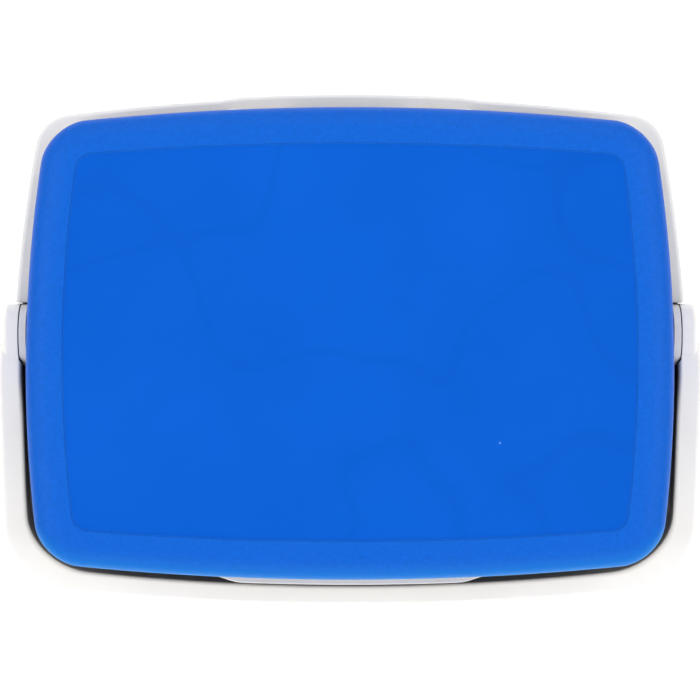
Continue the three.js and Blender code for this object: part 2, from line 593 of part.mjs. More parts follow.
for (const { name, x } of hingeSides) {
  place(`hinge_body_leaf_${name}`, makeBodyLeaf(), WHITE_TRIM, [x, 0, 0]);
  place(`hinge_lid_leaf_${name}`, makeLidLeaf(), WHITE_TRIM, [x, 0, 0]);
  place(`hinge_pin_${name}`, makeHingePin(), STEEL, [x, HINGE.y, HINGE.z], [0, Math.PI / 2, 0]);
}
for (const { name, x, y } of screwPlaces(BODY_SCREW)) {
  place(`hinge_body_screw_${name}`, makeScrew(), STEEL, [x, y, BODY_LEAF.top]);
}
for (const { name, x, y } of screwPlaces(LID_SCREW)) {
  place(`hinge_lid_screw_${name}`, makeScrew(), STEEL, [x, y, LID_LEAF.bottom], [Math.PI, 0, 0]);
}

place('handle_bail', toGeometry(makeBail()), WHITE_HANDLE, [0, PIVOT.y, PIVOT.z], [BAIL.slope, 0, 0]);
for (const { name, sign } of handleSides) {
  place(`pivot_pin_${name}`, makePivotPin(), WHITE_TRIM,
    [sign * PIVOT_PIN.start, PIVOT.y, PIVOT.z], [0, (sign * Math.PI) / 2, 0]);
  place(`pivot_washer_${name}`, toGeometry(makeWasher()), WHITE_TRIM,
    [0, PIVOT.y, PIVOT.z], [0, sign > 0 ? 0 : Math.PI, 0]);
}

export default cooler;
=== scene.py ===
"""Cooler chest: blue lid, white foam-filled body and swinging bail handle, seen from straight above.

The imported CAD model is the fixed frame. The mouldings are rebuilt here as fine meshes on the same
outlines. The hinges, foam, plugs and seal keep their CAD meshes with new materials, most with rounded
edges. Lengths are in millimetres unless they say metres.
"""
import math
from dataclasses import dataclass, replace

import bmesh
import bpy
import numpy as np
from mathutils import Matrix, Vector


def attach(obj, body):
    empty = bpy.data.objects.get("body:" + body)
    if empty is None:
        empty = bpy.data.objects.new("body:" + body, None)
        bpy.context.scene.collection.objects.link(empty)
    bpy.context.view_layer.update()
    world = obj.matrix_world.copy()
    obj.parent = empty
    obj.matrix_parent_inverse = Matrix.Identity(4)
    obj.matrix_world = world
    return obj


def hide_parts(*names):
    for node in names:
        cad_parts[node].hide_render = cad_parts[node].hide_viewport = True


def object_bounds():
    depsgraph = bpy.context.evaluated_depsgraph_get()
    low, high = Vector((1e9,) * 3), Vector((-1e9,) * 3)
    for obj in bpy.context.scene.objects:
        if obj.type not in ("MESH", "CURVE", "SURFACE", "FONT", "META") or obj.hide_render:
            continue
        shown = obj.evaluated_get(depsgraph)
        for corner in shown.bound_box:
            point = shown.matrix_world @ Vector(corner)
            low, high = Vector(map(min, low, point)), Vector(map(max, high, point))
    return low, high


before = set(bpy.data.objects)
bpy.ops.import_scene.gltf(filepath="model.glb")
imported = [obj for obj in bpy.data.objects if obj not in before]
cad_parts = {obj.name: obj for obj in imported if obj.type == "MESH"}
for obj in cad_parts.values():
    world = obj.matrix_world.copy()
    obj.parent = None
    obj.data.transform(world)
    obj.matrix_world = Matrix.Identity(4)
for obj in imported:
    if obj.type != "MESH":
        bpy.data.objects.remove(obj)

CAD_LOW, CAD_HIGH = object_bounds()
MM = 0.001
BIG = 400.0  # larger than the cooler, for cutting blocks


# ---------------------------------------------------------------- driving sizes, the same as the CAD part's
@dataclass(frozen=True)
class Outline:
    """A rounded rectangle whose sides bow outwards, centred on x = 0, y = center_y."""

    half_width: float
    half_depth: float
    corner: float
    side_bow: float
    end_bow: float
    center_y: float = 4.4
    widest_y: float = -14.0
    bulge: float = 0.0
    front_slack: float = 0.0  # how far the front end is drawn in on either side of its bulge


HALF_DEPTH = CAD_HIGH.y / MM
BODY = Outline(184.7, 135.2, 15, 9.9, 12, widest_y=-34, bulge=HALF_DEPTH - 135.2 - 4.4)
NECK = Outline(175, 129.5, 25, 9.2, 9.3, bulge=2.2, front_slack=1.2)
PLAIN_NECK = replace(NECK, bulge=0)
LID = Outline(172.4, 125.7, 22.2, 9.2, 9.3)
FIELD = Outline(151.9, 105.1, 7.5, 7, 6, center_y=5, widest_y=-8)
MOUTH = Outline(153, 107, 20, 6, 6, widest_y=-8)
BULGE_TOP, BULGE_FOOT = 62.0, 80.0

SHELL_WALL, SHELL_TOP, RIM_TOP = 2.6, 259.9, 262.6
FLOOR_TOP, BASE_RECESS, BASE_RING = 6.6, 4.0, 20.0
LEDGE_Z, LEDGE_FRONT, LEDGE_THICKNESS = 257.0, 122.2, 2.5
NECK_BOTTOM = 200.0
RECESS_BACK, RECESS_KNEE, RECESS_FLOOR = 27.0, -31.0, 233.5
FINGER_DEPTH, FINGER_BACK, FINGER_TOP = 6.0, -95.0, 250.0
LINER_FLOOR, LINER_WALL, FLANGE, FLANGE_INSET = 27.0, 2.2, 2.4, 2.0
FILL_HOLE = 9.3

LID_BOTTOM, LID_EDGE, LID_WALL = 263.0, 12.0, 2.8
CROWN_RISE, CROWN_REACH = 11.9, 19.5  # the border curves up from the skirt to the field
FIELD_EDGE, FIELD_MIDDLE = 308.8, 309.4
CEILING = 307.2
PAN_BOTTOM, PAN_FLANGE_LOW, PAN_FLANGE_HIGH = 249.0, 265.4, 267.6

HINGE_Z, HINGE_X, HINGE_HALF = 262.8, 48.0, 18.0
NOTCH_FRONT, NOTCH_TOP = 124.2, HINGE_Z + 4.7  # where the lid and its pan give way to the hinge knuckles
LEAF_SEAT_HALF, LEAF_SEAT_FRONT, LEAF_SEAT_BACK, LEAF_SEAT_DEPTH = 30.3, 122.5, 131.5, 2.3
PIVOT_Y, PIVOT_Z = 9.2, 254.0
BAIL_THICK, BAIL_WIDE, BAIL_EDGE, BAIL_TUCK, BAIL_SLOPE = 11.3, 17.0, 2.2, 1.5, math.radians(11.5)
ARM_STOUTER = 1.17  # thickness of the bail's arms, as a share of its bar's
CORNER_SHRINK = 0.3  # how much the bail's inner corner radius drops for each millimetre of thickness
HUB_RADIUS, HUB_INNER, HUB_OUTER = 17.0, 180.0, 190.3
SEAT_RADIUS, SEAT_END = 13.4, 181.1  # the washer's seat in the inner face of each hub
BOSS_RADIUS, BOSS_END, PIN_BORE = 14.3, 179.7, 5.3
DISC_RADIUS, DISC_DROP = 16.8, 1.4  # the wider upper part of each boss
STOP_INNER, STOP_OUTER, STOP_HALF = 15.0, 17.4, math.radians(9.8)
BODY_STOP_ANGLE, HUB_LUG_ANGLE = math.radians(195), math.radians(330)


# ---------------------------------------------------------------- camera
def make_camera():
    """Straight above the lid, with the optical axis just ahead of the middle."""
    data = bpy.data.cameras.new("camera")
    data.lens = 146.2
    data.sensor_width = 36
    camera = bpy.data.objects.new("camera", data)
    camera.location = (0.0, 0.9 * MM, 1.81)
    bpy.context.scene.collection.objects.link(camera)
    bpy.context.scene.camera = camera


# ---------------------------------------------------------------- outlines
SIDE_STEPS, CORNER_STEPS, END_STEPS = 14, 16, 42  # in each quarter of an outline


def smoothstep(value, low, high):
    t = np.clip((value - low) / (high - low), 0, 1)
    return t * t * (3 - 2 * t)


def corner_arc(outline):
    """The right front corner of the unbowed rectangle, from its side to its end."""
    x, y = outline.half_width - outline.corner, outline.half_depth - outline.corner
    angles = [math.pi / 2 * i / CORNER_STEPS for i in range(CORNER_STEPS)]
    return [(x + outline.corner * math.cos(a), -y - outline.corner * math.sin(a)) for a in angles]


def front_half(outline, start):
    """The unbowed front half, from the right side at y = start round to the left side."""
    x, y = outline.half_width - outline.corner, outline.half_depth - outline.corner
    side = [(outline.half_width, start - (start + y) * i / SIDE_STEPS) for i in range(SIDE_STEPS)]
    end = [(x * (1 - i / END_STEPS), -outline.half_depth) for i in range(END_STEPS)]
    right = np.array(side + corner_arc(outline) + end)
    return np.vstack([right, [[0, -outline.half_depth]], right[::-1] * [-1, 1]])


def bowed(points, outline):
    """Bows rounded-rectangle points outwards, and adds the bulge in the middle of each end."""
    x, y = points[:, 0], points[:, 1]
    side_pull = outline.side_bow / outline.half_width * ((y - outline.widest_y) / outline.half_depth) ** 2
    end_pull = outline.end_bow / outline.half_depth * (x / outline.half_width) ** 2
    rise = 1 - smoothstep(np.abs(x), BULGE_TOP, BULGE_FOOT)
    on_end = np.abs(y) > outline.half_depth * 0.98
    ahead = smoothstep(-y, outline.half_depth * 0.8, outline.half_depth)
    shift = np.sign(y) * outline.bulge * rise * on_end + outline.front_slack * (1 - rise) * ahead
    return np.column_stack([x * (1 - side_pull), y * (1 - end_pull) + shift])


def inset(outline, distance):
    return replace(
        outline,
        half_width=outline.half_width - distance,
        half_depth=outline.half_depth - distance,
        corner=max(outline.corner - distance, 1.0),
    )


def ring(outline, z, distance=0.0, scale=1.0):
    """The whole bowed outline at a height, drawn in by a distance and scaled about its middle.

    Every ring has the same number of points in the same order, so any two can be lofted together.
    """
    drawn = inset(outline, distance)
    front = front_half(drawn, 0.0)[:-1]
    flat = bowed(np.vstack([front, -front]), drawn) * scale
    return np.column_stack([flat[:, 0], flat[:, 1] + outline.center_y, np.full(len(flat), z)])


def between(first, last, share):
    return first * (1 - share) + last * share


def quarter_turn(radius, steps=6):
    """(inset, rise) along a quarter circle, from its start on the wall to its end on the flat."""
    angles = [math.pi / 2 * i / steps for i in range(steps + 1)]
    return [(radius * (1 - math.cos(a)), radius * math.sin(a)) for a in angles]


def body_scale(z):
    return 1 - 0.072 * (1 - z / LEDGE_Z)


def neck_scale(z):
    return 1 - 0.072 * (1 - z / RIM_TOP)


def liner_scale(z):
    return 1 - 0.055 * (1 - z / RIM_TOP)


def lid_scale(z):
    return 1 + 0.0175 * (1 - min(1, (z - LID_BOTTOM) / (CAD_HIGH.z / MM - LID_EDGE - LID_BOTTOM)))


# ---------------------------------------------------------------- meshes
def new_object(name, vertices, faces):
    mesh = bpy.data.meshes.new(name)
    mesh.from_pydata([Vector(v) * MM for v in vertices], [], faces)
    obj = bpy.data.objects.new(name, mesh)
    bpy.context.scene.collection.objects.link(obj)
    tidy_mesh(obj)
    return obj


def tidy_mesh(obj):
    """Merges doubled points and turns every face outwards."""
    bm = bmesh.new()
    bm.from_mesh(obj.data)
    bmesh.ops.remove_doubles(bm, verts=bm.verts, dist=1e-7)
    bmesh.ops.recalc_face_normals(bm, faces=bm.faces)
    bm.to_mesh(obj.data)
    bm.free()


def grid_faces(rows, columns, closed_rows=False):
    """Quads between neighbouring rows of points, each row closed on itself."""
    faces = []
    for r in range(rows if closed_rows else rows - 1):
        low, high = r * columns, (r + 1) % rows * columns
        for i in range(columns):
            j = (i + 1) % columns
            faces.append((low + i, low + j, high + j, high + i))
    return faces


def loft(name, rings):
    """A closed body through rings of points, with a fan over the first and the last ring."""
    count = len(rings[0])
    vertices = [p for r in rings for p in r]
    faces = grid_faces(len(rings), count)
    for r in (0, len(rings) - 1):
        middle = len(vertices)
        vertices.append(np.mean(rings[r], axis=0))
        faces += [(r * count + i, r * count + (i + 1) % count, middle) for i in range(count)]
    return new_object(name, vertices, faces)


def prism(name, outline, z0, z1, scale_at, distance=0.0, bottom=0.0, top=0.0):
    """An upright body on an outline, with rounded edges of radius bottom and top."""
    rings = []
    for draw, rise in reversed(quarter_turn(bottom) if bottom else [(0, 0)]):
        z = z0 + bottom - rise
        rings.append(ring(outline, z, distance + draw, scale_at(z)))
    for draw, rise in quarter_turn(top) if top else [(0, 0)]:
        z = z1 - top + rise
        rings.append(ring(outline, z, distance + draw, scale_at(z)))
    return loft(name, rings)


def block(name, low, high):
    """A cutting block between two corners."""
    (x0, y0, z0), (x1, y1, z1) = low, high
    vertices = [(x, y, z) for x in (x0, x1) for y in (y0, y1) for z in (z0, z1)]
    faces = [(0, 1, 3, 2), (4, 6, 7, 5), (0, 4, 5, 1), (2, 3, 7, 6), (0, 2, 6, 4), (1, 5, 7, 3)]
    return new_object(name, vertices, faces)


def side_profile(name, corners, x0, x1):
    """A body along X on a closed line of (y, z) corners."""
    count = len(corners)
    vertices = [(x, y, z) for x in (x0, x1) for y, z in corners]
    ends = [tuple(range(count)), tuple(range(count, 2 * count))]
    return new_object(name, vertices, grid_faces(2, count) + ends)


def turned(name, profile, y, z, sign=1, steps=72):
    """A body turned about an axis along X, on (x, radius) pairs that end on the axis or close up."""
    angles = [2 * math.pi * i / steps for i in range(steps)]
    vertices = [(sign * x, y + r * math.cos(a), z + r * math.sin(a)) for x, r in profile for a in angles]
    return new_object(name, vertices, grid_faces(len(profile), steps, closed_rows=True))


def sector(name, angle, x0, x1, y, z):
    """A stop block on a ring round the handle pivot; angles run from the rear upwards."""
    turns = [angle + STOP_HALF * (i / 4 - 1) for i in range(9)]
    outside = [(y + STOP_OUTER * math.cos(a), z + STOP_OUTER * math.sin(a)) for a in turns]
    inside = [(y + STOP_INNER * math.cos(a), z + STOP_INNER * math.sin(a)) for a in reversed(turns)]
    return side_profile(name, outside + inside, x0, x1)


def combine(obj, other, operation):
    """Joins, cuts or intersects two bodies, and removes the second."""
    modifier = obj.modifiers.new("combine", "BOOLEAN")
    modifier.operation = operation
    modifier.solver = "EXACT"
    modifier.object = other
    bpy.context.view_layer.update()
    evaluated = obj.evaluated_get(bpy.context.evaluated_depsgraph_get())
    mesh = bpy.data.meshes.new_from_object(evaluated)
    obj.modifiers.clear()
    obj.data = mesh
    bpy.data.objects.remove(other)
    return obj


def cut(obj, *tools):
    for tool in tools:
        combine(obj, tool, "DIFFERENCE")
    return obj


def join(obj, *others):
    for other in others:
        combine(obj, other, "UNION")
    return obj


def finish_piece(obj, body, slot, nodes, *materials):
    """Shades a finished mesh, puts it on the body it rides on, and hides the CAD nodes it stands for."""
    for material in materials:
        if material.name not in obj.data.materials:
            obj.data.materials.append(material)
    for polygon in obj.data.polygons:
        polygon.use_smooth = True
    obj.data.set_sharp_from_angle(angle=math.radians(35))
    weighted = obj.modifiers.new("flat faces stay flat", "WEIGHTED_NORMAL")
    weighted.keep_sharp = True
    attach(obj, body)
    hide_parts(*nodes)


# ---------------------------------------------------------------- materials
class Surface:
    """A Principled material with short ways to add procedural nodes, on coordinates fixed to the piece."""

    def __init__(self, name):
        self.material = bpy.data.materials.new(name)
        self.material.use_nodes = True
        self.nodes = self.material.node_tree.nodes
        self.links = self.material.node_tree.links
        self.shader = self.nodes["Principled BSDF"]
        self.place = self.nodes.new("ShaderNodeTexCoord").outputs["Object"]

    def noise(self, size, detail=3.0, roughness=0.55, stretch=None):
        """Noise from 0 to 1 whose lumps are about size metres across."""
        node = self.nodes.new("ShaderNodeTexNoise")
        node.inputs["Scale"].default_value = 1 / size
        node.inputs["Detail"].default_value = detail
        node.inputs["Roughness"].default_value = roughness
        self.links.new(self.stretched(stretch), node.inputs["Vector"])
        return node.outputs["Fac"]

    def along(self, kind, axis):
        """One axis of the piece's own "Object" position in metres, or of its own "Normal"."""
        node = self.nodes.new("ShaderNodeSeparateXYZ")
        self.links.new(self.nodes.new("ShaderNodeTexCoord").outputs[kind], node.inputs["Vector"])
        return node.outputs[axis]

    def cells(self, size, upright=False):
        """Rounded cells about size metres across, and the random colour of each; upright ones ignore Z."""
        node = self.nodes.new("ShaderNodeTexVoronoi")
        node.feature = "F1"
        node.voronoi_dimensions = "2D" if upright else "3D"
        node.inputs["Scale"].default_value = 1 / size
        self.links.new(self.place, node.inputs["Vector"])
        return node.outputs["Distance"], node.outputs["Color"]

    def stretched(self, stretch):
        if stretch is None:
            return self.place
        node = self.nodes.new("ShaderNodeMapping")
        node.inputs["Scale"].default_value = stretch
        self.links.new(self.place, node.inputs["Vector"])
        return node.outputs["Vector"]

    def span(self, value, low_in, high_in, low_out, high_out):
        node = self.nodes.new("ShaderNodeMapRange")
        self.links.new(value, node.inputs["Value"])
        limits = {"From Min": low_in, "From Max": high_in, "To Min": low_out, "To Max": high_out}
        for name, number in limits.items():
            node.inputs[name].default_value = number
        return node.outputs["Result"]

    def maths(self, operation, first, second):
        node = self.nodes.new("ShaderNodeMath")
        node.operation = operation
        for socket, value in zip(node.inputs, (first, second)):
            if isinstance(value, (int, float)):
                socket.default_value = value
            else:
                self.links.new(value, socket)
        return node.outputs["Value"]

    def blend(self, share, first, second):
        """A colour between two: each is a colour or the output of another node."""
        node = self.nodes.new("ShaderNodeMix")
        node.data_type = "RGBA"
        self.links.new(share, node.inputs["Factor"])
        for socket, value in zip((node.inputs[6], node.inputs[7]), (first, second)):
            if isinstance(value, tuple):
                socket.default_value = (*value, 1)
            else:
                self.links.new(value, socket)
        return node.outputs[2]

    def bump(self, height, depth, normal=None):
        """Relief of depth metres from a height between 0 and 1."""
        node = self.nodes.new("ShaderNodeBump")
        node.inputs["Distance"].default_value = depth
        self.links.new(height, node.inputs["Height"])
        if normal is not None:
            self.links.new(normal, node.inputs["Normal"])
        return node.outputs["Normal"]

    def soft_edges(self, radius):
        node = self.nodes.new("ShaderNodeBevel")
        node.samples = 4
        node.inputs["Radius"].default_value = radius
        return node.outputs["Normal"]

    def openness(self, reach):
        """1 in the open, falling towards 0 in slots and corners narrower than reach metres."""
        node = self.nodes.new("ShaderNodeAmbientOcclusion")
        node.samples = 6
        node.inputs["Distance"].default_value = reach
        return node.outputs["AO"]

    def edges(self, radius):
        """0 on open surfaces, rising to 1 along edges."""
        dot = self.nodes.new("ShaderNodeVectorMath")
        dot.operation = "DOT_PRODUCT"
        self.links.new(self.soft_edges(radius), dot.inputs[0])
        self.links.new(self.nodes.new("ShaderNodeNewGeometry").outputs["Normal"], dot.inputs[1])
        return self.span(dot.outputs["Value"], 0.995, 0.85, 0, 1)

    def finish(self, color, roughness, normal):
        self.links.new(color, self.shader.inputs["Base Color"])
        self.links.new(roughness, self.shader.inputs["Roughness"])
        self.links.new(normal, self.shader.inputs["Normal"])
        return self.material


def shade(color, factor):
    return tuple(min(1.0, c * factor) for c in color)


def white_plastic(name, color, roughness, grain, painted_shade_reach=0.0, painted_shade_span=(0.5, 0.2)):
    """Moulded white plastic: spark grain, patchy gloss, faint flow marks and soiled edges, plus painted shade
    in narrow slots.

    Slots narrower than the reach, in metres, get painted shade: they darken towards navy as their openness
    falls through the two values of the span.
    """
    surface = Surface(name)
    patches = surface.noise(0.07, detail=4)
    tint = surface.blend(surface.span(patches, 0.3, 0.7, 0, 1), shade(color, 0.972), shade(color, 1.015))
    scuffs = surface.noise(0.012, detail=6, roughness=0.7, stretch=(1, 0.22, 1))
    edge = surface.maths("MULTIPLY", surface.edges(0.9 * MM), surface.span(scuffs, 0.42, 0.62, 0, 0.16))
    wear_and_painted_light = surface.blend(edge, tint, shade((color[0], color[1] * 0.985, color[2] * 0.95), 0.86))
    gloss = surface.maths(
        "ADD", surface.span(patches, 0.3, 0.7, roughness - 0.05, roughness + 0.05),
        surface.span(scuffs, 0.55, 0.75, 0, 0.1),
    )
    rounded = surface.soft_edges(0.5 * MM)
    relief = surface.bump(surface.noise(grain), 0.03 * MM, rounded)
    flow = surface.bump(surface.noise(0.03, detail=2), 0.12 * MM, relief)
    surface.shader.inputs["Specular IOR Level"].default_value = 0.4
    # Painted shade: ambient occlusion darkens narrow slots towards dark navy, standing in for their shadow.
    if painted_shade_reach:
        painted_slot_shade = surface.span(surface.openness(painted_shade_reach), *painted_shade_span, 0, 1)
        wear_and_painted_light = surface.blend(painted_slot_shade, wear_and_painted_light, (0.012, 0.016, 0.03))
    return surface.finish(wear_and_painted_light, gloss, flow)


def lid_border_blue():
    """Grained blue polypropylene: pebbled cells with lighter tops, and a painted highlight on the
    front-facing roll of the edge.
    """
    surface = Surface("lid_border_blue")
    blue, painted_highlight_blue = (0.0028, 0.084, 0.44), (0.006, 0.19, 0.55)
    patches = surface.noise(0.05, detail=4)
    pebbles, _ = surface.cells(0.9 * MM)
    mottle = surface.noise(2.5 * MM, detail=4, roughness=0.7)
    tint = surface.blend(surface.span(mottle, 0.3, 0.7, 0, 1), shade(blue, 0.91), shade(blue, 1.09))
    # Painted highlight: the roll of the edge that faces the front is lightened towards a greener blue,
    # standing in for light from the front.
    height = surface.along("Object", "Z")
    below_top = surface.span(height, 0.3095, 0.3, 0, 1)
    above_skirt = surface.span(height, 0.276, 0.298, 0, 1)
    roll = surface.maths("MULTIPLY", below_top, above_skirt)
    ahead = surface.span(surface.along("Normal", "Y"), 0.0, -0.45, 0, 1)
    with_painted_highlight = surface.blend(surface.maths("MULTIPLY", roll, ahead), tint, painted_highlight_blue)
    bloom_and_painted_highlight = surface.blend(surface.span(pebbles, 0.5, 0.1, 0, 0.1), with_painted_highlight, (0.012, 0.16, 0.55))
    edge = surface.maths("MULTIPLY", surface.edges(1.2 * MM), surface.span(patches, 0.4, 0.6, 0.05, 0.2))
    wear_and_painted_light = surface.blend(edge, bloom_and_painted_highlight, (0.02, 0.2, 0.56))
    gloss = surface.span(patches, 0.3, 0.7, 0.42, 0.5)
    rounded = surface.soft_edges(0.4 * MM)
    grain = surface.bump(surface.span(pebbles, 0, 0.8, 1, 0), 0.08 * MM, rounded)
    fine = surface.bump(surface.noise(0.35 * MM, detail=2), 0.012 * MM, grain)
    surface.shader.inputs["Specular IOR Level"].default_value = 0.07
    return surface.finish(wear_and_painted_light, gloss, fine)


def lid_field_blue():
    """Smooth blue field: thin darker swirled lines as painted reflections, fine scratches and a few bright
    specks of dust.
    """
    surface = Surface("lid_field_blue")
    blue = (0.0016, 0.075, 0.425)
    patches = surface.noise(0.09, detail=3)
    tint = surface.blend(surface.span(patches, 0.3, 0.7, 0, 1), shade(blue, 0.96), shade(blue, 1.04))
    distance, cell_color = surface.cells(16 * MM, upright=True)
    rare = surface.span(cell_color, 0.93, 0.94, 0, 1)
    speck = surface.maths("MULTIPLY", rare, surface.span(distance, 0.045, 0.02, 0, 0.45))
    # Painted reflection: thin darker contour lines in a slow noise stand in for faint wavy reflections on the
    # field.
    painted_reflection_swirl = surface.maths("ABSOLUTE", surface.maths("SUBTRACT", surface.noise(0.16, detail=1.5), 0.5), 0)
    with_painted_reflection_lines = surface.blend(surface.span(painted_reflection_swirl, 0.012, 0.002, 0, 0.3), tint, shade(blue, 0.86))
    dust_and_painted_reflections = surface.blend(speck, with_painted_reflection_lines, (0.2, 0.42, 0.8))
    scratches = surface.noise(3 * MM, detail=8, roughness=0.75, stretch=(0.08, 1, 1))
    gloss = surface.maths(
        "ADD", surface.span(patches, 0.3, 0.7, 0.28, 0.34), surface.span(scratches, 0.6, 0.72, 0, 0.12),
    )
    waves = surface.bump(surface.noise(0.06, detail=1), 0.25 * MM)
    fine = surface.bump(surface.noise(0.6 * MM, detail=2), 0.004 * MM, waves)
    surface.shader.inputs["Specular IOR Level"].default_value = 0.08
    return surface.finish(dust_and_painted_reflections, gloss, fine)


def foam():
    """Poured polyurethane foam: small open cells in a cream skin."""
    surface = Surface("foam_cream")
    cells, _ = surface.cells(1.6 * MM)
    patches = surface.noise(0.02, detail=4)
    color = surface.blend(surface.span(patches, 0.3, 0.7, 0, 1), (0.74, 0.62, 0.36), (0.86, 0.77, 0.52))
    pitted = surface.blend(surface.span(cells, 0.5, 0.05, 0, 0.5), color, (0.5, 0.4, 0.2))
    relief = surface.bump(cells, 0.5 * MM)
    return surface.finish(pitted, surface.span(patches, 0, 1, 0.85, 1), relief)


def seal_rubber():
    """Dark extruded rubber: slight streaks along it and a dusty matt surface."""
    surface = Surface("seal_grey")
    streaks = surface.noise(2 * MM, detail=4, stretch=(0.1, 0.1, 1))
    dust = surface.noise(8 * MM, detail=5)
    color = surface.blend(surface.span(dust, 0.4, 0.7, 0, 1), (0.045, 0.048, 0.055), (0.09, 0.095, 0.1))
    relief = surface.bump(streaks, 0.06 * MM)
    return surface.finish(color, surface.span(dust, 0.3, 0.7, 0.62, 0.82), relief)


def steel():
    """Drawn steel wire and screws: fine turning marks and dull patches."""
    surface = Surface("steel")
    marks = surface.noise(0.25 * MM, detail=3, stretch=(0.1, 1, 1))
    patches = surface.noise(3 * MM, detail=4)
    color = surface.blend(surface.span(patches, 0.3, 0.7, 0, 1), (0.5, 0.51, 0.53), (0.66, 0.67, 0.68))
    surface.shader.inputs["Metallic"].default_value = 1.0
    relief = surface.bump(marks, 0.01 * MM, surface.soft_edges(0.15 * MM))
    return surface.finish(color, surface.span(marks, 0.3, 0.7, 0.22, 0.42), relief)


# ---------------------------------------------------------------- lid
def crown(draw):
    """Height of the border above the straight skirt, at a distance in from the skirt."""
    return CROWN_RISE * math.sqrt(1 - (1 - draw / CROWN_REACH) ** 3.2)


def lid_rings():
    """Rings of the lid's shell: from its ceiling down, round the seam and up over to the middle of the top.

    The second value says how many rings come before the sunk field.
    """
    rings = []
    inner_edge = LID_EDGE - LID_WALL
    for draw, rise in reversed(quarter_turn(inner_edge, 5)):
        rings.append(ring(LID, CEILING - inner_edge + rise, LID_WALL + draw))
    rings.append(ring(LID, LID_BOTTOM, LID_WALL, lid_scale(LID_BOTTOM)))
    for draw, rise in reversed(quarter_turn(0.7, 3)):
        rings.append(ring(LID, LID_BOTTOM + 0.7 - rise, draw, lid_scale(LID_BOTTOM)))
    edge_start = CAD_HIGH.z / MM - LID_EDGE
    for i in range(1, 6):
        z = between(LID_BOTTOM + 0.7, edge_start, i / 6)
        rings.append(ring(LID, z, 0, lid_scale(z)))
    for draw, _ in quarter_turn(LID_EDGE, 18):
        rings.append(ring(LID, edge_start + crown(draw), draw))
    border_top = edge_start + crown(CROWN_REACH)
    foot, step_top = rings[-1], ring(FIELD, border_top, -0.7)
    for i in range(1, 8):
        flat = between(foot, step_top, i / 7)
        flat[:, 2] = edge_start + crown(between(LID_EDGE, CROWN_REACH, i / 7))
        rings.append(flat)
    rings.append(ring(FIELD, border_top - 0.1, -0.45))
    rings.append(ring(FIELD, border_top - 0.25, -0.3))
    rings.append(ring(FIELD, FIELD_EDGE + 0.15, 0.1))
    rings.append(ring(FIELD, FIELD_EDGE, 0.5))
    before_field = len(rings) - 1
    for i in range(1, 12):
        share = 1 - i / 12
        z = between(FIELD_EDGE, FIELD_MIDDLE, 1 - share * share)
        rings.append(ring(FIELD, z, 0.5, share))
    return rings, before_field


def cut_hinge_notches(obj):
    """Room for the two hinges in the rear edge of a lid moulding."""
    for x in (-HINGE_X, HINGE_X):
        low, high = x - HINGE_HALF - 0.5, x + HINGE_HALF + 0.5
        cut(obj, block("notch", (low, NOTCH_FRONT, LID_BOTTOM - 1), (high, BIG, NOTCH_TOP)))


def make_lid(border, field):
    rings, before_field = lid_rings()
    lid = loft("lid_shell_skin", rings)
    lid.data.materials.append(border)
    lid.data.materials.append(field)
    for polygon in lid.data.polygons[before_field * len(rings[0]):]:
        if polygon.center.z > (CEILING + 1) * MM:
            polygon.material_index = 1
    cut_hinge_notches(lid)
    finish_piece(lid, "lid", "lid_blue", ["lid_shell"], border, field)


def make_pan(material):
    """The white liner of the lid: a plug with a rounded foot, under a flange that lies inside the skirt."""
    plug, hollow = 4.0, 6.2
    rings = [ring(MOUTH, PAN_BOTTOM + 2.2, hollow + 3, liner_scale(PAN_BOTTOM))]
    rings.append(ring(MOUTH, PAN_BOTTOM + 5.2, hollow, liner_scale(PAN_BOTTOM)))
    rings.append(ring(MOUTH, PAN_FLANGE_HIGH, hollow, liner_scale(PAN_FLANGE_HIGH)))
    rings.append(ring(LID, PAN_FLANGE_HIGH, LID_WALL + 0.3, lid_scale(PAN_FLANGE_HIGH)))
    rings.append(ring(LID, PAN_FLANGE_LOW + 0.4, LID_WALL + 0.3, lid_scale(PAN_FLANGE_LOW)))
    rings.append(ring(LID, PAN_FLANGE_LOW, LID_WALL + 0.7, lid_scale(PAN_FLANGE_LOW)))
    for draw, rise in quarter_turn(1.4, 4):
        z = PAN_FLANGE_LOW - rise
        rings.append(ring(MOUTH, z, plug - 1.4 + draw, liner_scale(z)))
    for draw, rise in quarter_turn(4, 8):
        z = PAN_BOTTOM + 4 - rise
        rings.append(ring(MOUTH, z, plug + draw, liner_scale(z)))
    for draw, rise in ((34, 0), (36, 0.5), (38, 1.2), (41, 1.5)):
        rings.append(ring(MOUTH, PAN_BOTTOM + rise, plug + draw, liner_scale(PAN_BOTTOM)))
    pan = loft("lid_pan_liner", rings)
    low, high = PAN_BOTTOM - 5, PAN_BOTTOM + 10
    hole = [(low, 0), (low, FILL_HOLE), (high, FILL_HOLE), (high, 0)]
    cut(pan, upright("fill", hole, MOUTH.center_y))
    cut_hinge_notches(pan)
    finish_piece(pan, "lid", "liner_white", ["lid_pan"], material)


def upright(name, profile, y, steps=64):
    """A body turned about an upright axis at x = 0, on (z, radius) pairs."""
    angles = [2 * math.pi * i / steps for i in range(steps)]
    vertices = [(r * math.cos(a), y + r * math.sin(a), z) for z, r in profile for a in angles]
    return new_object(name, vertices, grid_faces(len(profile), steps, closed_rows=True))


# ---------------------------------------------------------------- body
def handle_recess(margin):
    """Space for the folded handle in the front half of the body, deeper by a margin."""
    floor = RECESS_FLOOR - margin
    front_floor = floor - (BIG + RECESS_KNEE) * math.tan(BAIL_SLOPE)
    back = RECESS_BACK + margin
    corners = [(back, BIG), (back, floor), (RECESS_KNEE, floor), (-BIG, front_floor), (-BIG, BIG)]
    return side_profile("handle recess", corners, -BIG, BIG)


